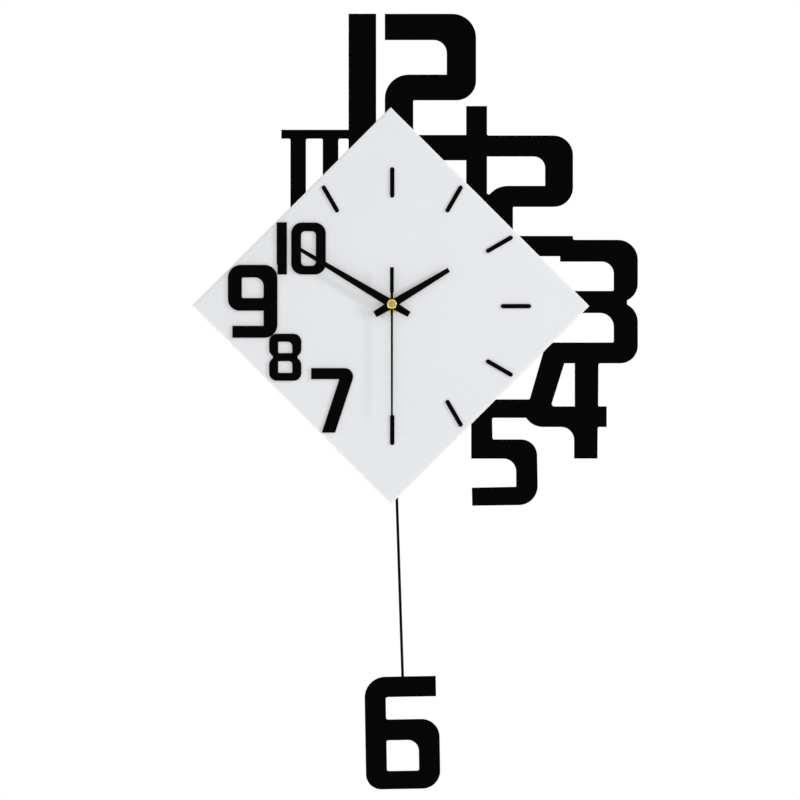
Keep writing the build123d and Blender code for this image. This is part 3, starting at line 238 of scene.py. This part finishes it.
def dial_white():
    """White glossy sheet: clouded and faintly smeared face; painted shade makes the bevel duller and
    the side walls grey.
    """
    s = Shade("dial_white_sheet", (0.79, 0.80, 0.825), rough=0.22, coat=0.35, coat_rough=0.03)
    cloud = s.noise(5.0, detail=3.0)
    face = s.ramp(cloud, [(0.30, (0.775, 0.790, 0.815)), (0.70, (0.805, 0.812, 0.832))])
    square = s.facing("Y")
    # Painted shade along the edge: the steep rim and the side walls are coloured grey, darker than
    # the face.
    wall = s.span(square, (0.30, 0.50), (1.0, 0.0))
    painted_edge_shade = s.mix(wall, (0.70, 0.71, 0.73), (0.42, 0.43, 0.45))
    sawn = s.span(square, (0.90, 0.97), (1.0, 0.0))
    s.colour(s.mix(sawn, face, painted_edge_shade))
    smear = s.noise(38.0, detail=6.0, rough=0.65)
    s.rough(s.span(smear, (0.35, 0.75), (0.16, 0.27)))
    s.bump(s.noise(260.0, detail=2.0), distance=0.00002, strength=0.15)
    return s


def sheet_black(name, base):
    """Black acrylic sheet: satin face with dust and wiping marks, edges shaped by laser with fine
    ribs.
    """
    black = (base, base, base * 1.06)
    s = Shade(name, black, rough=0.38, spec=0.010)
    fleck = s.span(s.cells(1900.0), (0.02, 0.06), (1.0, 0.0))
    patch = s.span(s.noise(60.0), (0.55, 0.75), (0.0, 0.30))
    dust = s.math("MULTIPLY", fleck, patch, clamp=True)
    s.colour(s.mix(dust, black, (0.025, 0.025, 0.026)))
    strokes = s.moved(scale=(1.0, 1.0, 0.15), turn=(0.0, 0.6, 0.0))
    wipe = s.noise(90.0, detail=5.0, rough=0.6, vector=strokes)
    s.rough(s.span(wipe, (0.3, 0.75), (0.30, 0.46)))
    edge = s.span(s.facing("Y"), (0.3, 0.7), (1.0, 0.0))
    ribs = s.noise(700.0, detail=2.0, rough=0.5, vector=s.moved(scale=(1.0, 0.04, 1.0)))
    s.bump(s.math("MULTIPLY", ribs, edge), distance=0.0001, strength=0.5)
    s.bump(s.noise(800.0, detail=3.0), distance=0.00002, strength=0.12)
    return s


def fibre_board():
    """Bare fibreboard: fine fibres, slow clouding, darker sawn edges."""
    s = Shade("fibre_board", (0.36, 0.24, 0.14), rough=0.78, spec=0.25)
    fibres = s.noise(900.0, detail=6.0, rough=0.7)
    tone = s.ramp(fibres, [
        (0.30, (0.25, 0.155, 0.085)),
        (0.52, (0.37, 0.25, 0.145)),
        (0.75, (0.50, 0.37, 0.24)),
    ])
    cloud = s.span(s.noise(22.0), (0.35, 0.7), (0.0, 0.35))
    shaded = s.mix(cloud, tone, (0.30, 0.195, 0.11))
    sawn = s.span(s.facing("Y"), (0.3, 0.7), (0.75, 0.0))
    s.colour(s.mix(sawn, shaded, (0.14, 0.078, 0.040)))
    s.rough(s.span(fibres, (0.3, 0.7), (0.70, 0.88)))
    s.bump(fibres, distance=0.0002, strength=0.5)
    return s


def foam_tape():
    """Pale foam with open bubbles, darker inside each bubble as painted shade in the hollows."""
    s = Shade("foam_tape", (0.78, 0.78, 0.75), rough=0.85, spec=0.2)
    bubbles = s.cells(1500.0)
    # Painted shade: each bubble is coloured darker towards its middle, where its hollow is deepest.
    s.colour(s.ramp(bubbles, [(0.0, (0.62, 0.62, 0.59)), (0.5, (0.80, 0.80, 0.77))]))
    s.bump(bubbles, distance=0.0003, strength=0.7)
    return s


def grey_metal(name, colour, rough, patches):
    """Grey metal, plated or bare: faint crystal patches and rolling marks."""
    s = Shade(name, colour, rough, metal=1.0)
    grey = s.node("ShaderNodeRGBToBW")
    s.link(s.cells(patches, output="Color"), grey.inputs[0])
    s.colour(s.ramp(grey.outputs[0], [(0.15, tinted(colour, 0.94)), (0.85, tinted(colour, 1.05))]))
    rolled = s.noise(900.0, detail=3.0, rough=0.5, vector=s.moved(scale=(1.0, 1.0, 0.03)))
    s.rough(s.span(rolled, (0.3, 0.7), (rough - 0.07, rough + 0.10)))
    s.bump(rolled, distance=0.00004, strength=0.4)
    return s


def rubber():
    """Black rubber with a faint pale bloom."""
    s = Shade("black_rubber", (0.028, 0.028, 0.029), rough=0.72, spec=0.3)
    bloom = s.noise(140.0, detail=5.0, rough=0.65)
    s.colour(s.ramp(bloom, [(0.35, (0.020, 0.020, 0.021)), (0.80, (0.060, 0.060, 0.058))]))
    s.bump(s.noise(1600.0, detail=3.0), distance=0.00008, strength=0.5)
    return s


def moulded(name, colour, rough):
    """Injection-moulded plastic: fine spark grain and slight flow shading."""
    s = Shade(name, colour, rough, spec=0.4)
    flow = s.noise(45.0, detail=3.0)
    s.colour(s.ramp(flow, [(0.30, tinted(colour, 0.90)), (0.70, tinted(colour, 1.08))]))
    pits = s.noise(1700.0, detail=3.0, rough=0.6)
    s.rough(s.span(pits, (0.3, 0.7), (rough - 0.06, rough + 0.08)))
    s.bump(pits, distance=0.00006, strength=0.6)
    return s


def turned_brass(name, low, body, high, groove_shade_and_boss=None):
    """Lacquered brass in three tones, with lathe rings about the hand axis."""
    s = Shade(name, body, rough=0.24, metal=1.0)
    reach = s.from_axis(HAND_AXIS)
    tarnish = s.noise(420.0, detail=5.0, rough=0.6)
    tone = s.ramp(tarnish, [(0.30, low), (0.60, body), (0.85, high)])
    s.colour(groove_shade_and_boss(s, tone, reach) if groove_shade_and_boss else tone)
    s.rough(s.span(tarnish, (0.3, 0.7), (0.18, 0.32)))
    s.bump(s.waves(reach, RING_PITCH), distance=0.00001, strength=0.45)
    return s


def cap_groove_shade_and_grey_boss(s, tone, reach):
    """Colour of the cap: darker brass in its turned groove as painted shade, grey on the boss in the
    middle.
    """
    past_start = s.span(reach, GROOVE_START, (0.0, 1.0))
    before_end = s.span(reach, GROOVE_END, (1.0, 0.0))
    groove = s.math("MULTIPLY", past_start, before_end)
    # Painted shade: the turned groove is coloured a darker brass.
    groove_shaded = s.mix(groove, tone, (0.24, 0.17, 0.046))
    boss = s.span(reach, BOSS_EDGE, (1.0, 0.0))
    return s.mix(boss, groove_shaded, (0.21, 0.175, 0.108))


def winding(name, along):
    """Enamelled copper wire wound in layers, with ribs along one axis."""
    s = Shade(name, (0.58, 0.24, 0.10), rough=0.30, metal=1.0, coat=0.5)
    lay = s.noise(600.0, detail=3.0)
    s.colour(s.ramp(lay, [(0.3, (0.46, 0.17, 0.065)), (0.7, (0.66, 0.30, 0.13))]))
    s.bump(s.waves(s.place(along), WIRE_PITCH), distance=0.00006, strength=0.8)
    return s


def cell_sleeve():
    """Plain sleeve of a round cell: dark body, coppery band at the plus end, bare steel ends."""
    s = Shade("cell_sleeve", (0.03, 0.035, 0.045), rough=0.28, coat=0.6)
    along = s.place("X")
    band_start = CELL_PLUS_END - CELL_BAND
    band = s.math("GREATER_THAN", along, band_start)
    past_line = s.math("GREATER_THAN", along, band_start - CELL_LINE)
    line = s.math("MULTIPLY", past_line, s.math("LESS_THAN", along, band_start))
    ends = s.span(s.facing("X"), (0.55, 0.75), (0.0, 1.0))
    scuff = s.noise(260.0, detail=5.0, rough=0.65)
    dark = s.ramp(scuff, [(0.4, (0.016, 0.018, 0.024)), (0.85, (0.045, 0.050, 0.060))])
    copper = s.ramp(scuff, [(0.3, (0.42, 0.22, 0.10)), (0.8, (0.56, 0.33, 0.17))])
    sleeve = s.mix(line, s.mix(band, dark, copper), (0.62, 0.62, 0.60))
    s.colour(s.mix(ends, sleeve, (0.55, 0.55, 0.54)))
    s.link(ends, s.shader.inputs["Metallic"])
    s.rough(s.span(scuff, (0.3, 0.8), (0.20, 0.38)))
    s.bump(s.noise(1200.0, detail=2.0), distance=0.00002, strength=0.2)
    return s


def circuit():
    """Green solder mask, paler along a grid of tracks."""
    s = Shade("circuit_mask", (0.03, 0.17, 0.075), rough=0.35, coat=0.3)
    tracks = s.node("ShaderNodeTexBrick")
    tracks.inputs["Scale"].default_value = 230.0
    tracks.inputs["Mortar Size"].default_value = 0.035
    s.link(s.moved(turn=(math.pi / 2, 0, 0)), tracks.inputs["Vector"])
    s.colour(s.mix(tracks.outputs["Fac"], (0.022, 0.13, 0.055), (0.075, 0.28, 0.13)))
    s.bump(tracks.outputs["Fac"], distance=0.00005, strength=0.5)
    return s


def painted_hand():
    """Black stoved paint on thin sheet, with a faint orange peel."""
    s = Shade("painted_hand", (0.0022, 0.0022, 0.0024), rough=0.46, spec=0.010)
    patch = s.noise(70.0)
    s.colour(s.ramp(patch, [(0.3, (0.0012, 0.0012, 0.0013)), (0.8, (0.0032, 0.0032, 0.0034))]))
    peel = s.noise(1500.0, detail=3.0)
    s.rough(s.span(peel, (0.3, 0.7), (0.34, 0.50)))
    s.bump(peel, distance=0.00003, strength=0.35)
    return s


def dress_clock():
    """Gives every node its material: the front, the back, and then inside the movement."""
    dress(dial_white(), "dial_panel")
    dress(sheet_black("figure_sheet", base=0.0012),
          "numeral_7", "numeral_8", "numeral_9", "numeral_10", "hour_marks")
    dress(sheet_black("plate_sheet", base=0.0010), "number_plate", "bob_numeral_6")
    dress(painted_hand(), "hour_hand", "minute_hand", "second_hand", "pendulum_rod")
    brass_tones = (0.36, 0.28, 0.070), (0.47, 0.37, 0.105), (0.60, 0.49, 0.19)
    dress(turned_brass("turned_brass", *brass_tones),
          "spindle_bush", "spindle_washer", "spindle_nut", "hour_bush")
    cap_tones = (0.38, 0.28, 0.080), (0.49, 0.38, 0.135), (0.60, 0.49, 0.23)
    dress(turned_brass("cap_brass", *cap_tones, groove_shade_and_boss=cap_groove_shade_and_grey_boss), "hand_cap")

    dress(foam_tape(), "tape_pads")
    dress(fibre_board(), "back_board")
    dress(rubber(), "wall_bumpers", "gasket")
    dress(grey_metal("zinc_sheet", (0.45, 0.46, 0.47), rough=0.40, patches=420.0),
          "hanger_left", "hanger_right")
    dress(grey_metal("zinc_screw", (0.50, 0.50, 0.50), rough=0.32, patches=900.0),
          "plate_screws", "hanger_screws", "bumper_screws",
          "bridge_screws", "clip_screws", "cover_screws")
    dress(moulded("clip_plastic", (0.020, 0.020, 0.021), rough=0.55), "rod_clip")
    dress(moulded("case_plastic", (0.022, 0.022, 0.024), rough=0.48),
          "movement_case", "gear_cover", "swing_cover")
    dress(moulded("knob_plastic", (0.62, 0.62, 0.61), rough=0.45), "setting_knob", "swing_arm")
    dress(cell_sleeve(), "battery")

    dress(grey_metal("nickel", (0.68, 0.67, 0.64), rough=0.22, patches=700.0),
          "motor_rotor", "arm_magnet", "contact_minus", "contact_plus", "quartz_crystal", "pivot_pin")
    dress(grey_metal("soft_iron", (0.42, 0.42, 0.43), rough=0.45, patches=500.0), "motor_stator")
    dress(moulded("acetal", (0.80, 0.79, 0.75), rough=0.40),
          "step_wheel", "second_wheel", "third_wheel", "minute_wheel", "hour_wheel")
    dress(moulded("acetal_cream", (0.76, 0.71, 0.58), rough=0.40), "centre_wheel")
    dress(moulded("bridge_plastic", (0.36, 0.37, 0.38), rough=0.5), "train_bridge")
    dress(winding("motor_winding", along="X"), "motor_coil")
    dress(winding("drive_winding", along="Y"), "drive_coil")
    dress(circuit(), "circuit_board")


def white_to_camera(tree, lit, white_kind):
    """Shader that is plain white where the picture or a reflection sees it, and lit elsewhere."""
    paths = tree.nodes.new("ShaderNodeLightPath")
    seen = paths.outputs["Is Camera Ray"]
    for other in ("Is Glossy Ray", "Is Transmission Ray"):
        either = tree.nodes.new("ShaderNodeMath")
        either.operation = "MAXIMUM"
        tree.links.new(seen, either.inputs[0])
        tree.links.new(paths.outputs[other], either.inputs[1])
        seen = either.outputs[0]
    white = tree.nodes.new(white_kind)
    white.inputs["Color"].default_value = (1.0, 1.0, 1.0, 1.0)
    white.inputs["Strength"].default_value = 1.0
    both = tree.nodes.new("ShaderNodeMixShader")
    tree.links.new(seen, both.inputs[0])
    tree.links.new(lit, both.inputs[1])
    tree.links.new(white.outputs[0], both.inputs[2])
    return both.outputs[0]


def studio_world():
    """Even white light from all round, behind a white that the camera sees."""
    world = bpy.data.worlds.new("studio")
    bpy.context.scene.world = world
    world.use_nodes = True
    tree = world.node_tree
    ambient = tree.nodes["Background"]
    ambient.inputs["Color"].default_value = (1.0, 1.0, 1.0, 1.0)
    ambient.inputs["Strength"].default_value = WORLD_LIGHT
    surface = white_to_camera(tree, ambient.outputs[0], "ShaderNodeBackground")
    tree.links.new(surface, tree.nodes["World Output"].inputs["Surface"])


def studio_floor():
    """Pale round floor below the hanging clock, which runs out into the white behind it."""
    bpy.ops.mesh.primitive_circle_add(
        vertices=FLOOR_SIDES, radius=FLOOR_RADIUS, fill_type="NGON",
        location=(0.0, 0.0, FLOOR_HEIGHT),
    )
    floor = bpy.context.object
    floor.name = "studio_floor"
    s = Shade("studio_floor", (0.86, 0.86, 0.86), rough=0.7, spec=0.2)
    pale = s.shader.outputs[0]
    run_out = s.node("ShaderNodeMixShader")
    s.link(s.span(s.length(s.coords), FLOOR_RUN_OUT, (0.0, 1.0), "SMOOTHSTEP"), run_out.inputs[0])
    s.link(pale, run_out.inputs[1])
    s.link(white_to_camera(s.tree, pale, "ShaderNodeEmission"), run_out.inputs[2])
    s.link(run_out.outputs[0], s.tree.nodes["Material Output"].inputs["Surface"])
    floor.data.materials.append(s.mat)


def soft_lamp(name, place, wide, power):
    """Round area lamp that looks at the middle of the dial."""
    data = bpy.data.lights.new(name, "AREA")
    data.shape = "DISK"
    data.size = wide
    data.energy = power
    lamp = bpy.data.objects.new(name, data)
    bpy.context.collection.objects.link(lamp)
    lamp.location = place
    across, ahead, rise = (aim - start for aim, start in zip(LAMP_TARGET, lamp.location))
    tilt = math.pi / 2 + math.atan2(rise, math.hypot(across, ahead))
    lamp.rotation_euler = (tilt, 0.0, math.atan2(-across, ahead))


def photo_camera():
    """Camera square on to the clock, far off, framed as the photograph."""
    data = bpy.data.cameras.new("camera")
    data.sensor_width = SENSOR_WIDTH
    data.lens = SENSOR_WIDTH * CAMERA_DISTANCE / (PHOTO_PIXELS * METRES_PER_PIXEL)
    data.clip_end = CAMERA_REACH
    camera = bpy.data.objects.new("camera", data)
    bpy.context.collection.objects.link(camera)
    right, below = ((PHOTO_PIXELS / 2 - pixel) * METRES_PER_PIXEL for pixel in AXIS_PIXEL)
    camera.location = (HAND_AXIS[0] + right, DIAL_FRONT - CAMERA_DISTANCE, HAND_AXIS[2] - below)
    camera.rotation_euler = (math.pi / 2, 0.0, 0.0)
    bpy.context.scene.camera = camera


dress_clock()
studio_world()
studio_floor()
for lamp_facts in LAMPS:
    soft_lamp(*lamp_facts)
photo_camera()
bpy.context.scene.view_settings.view_transform = "Standard"
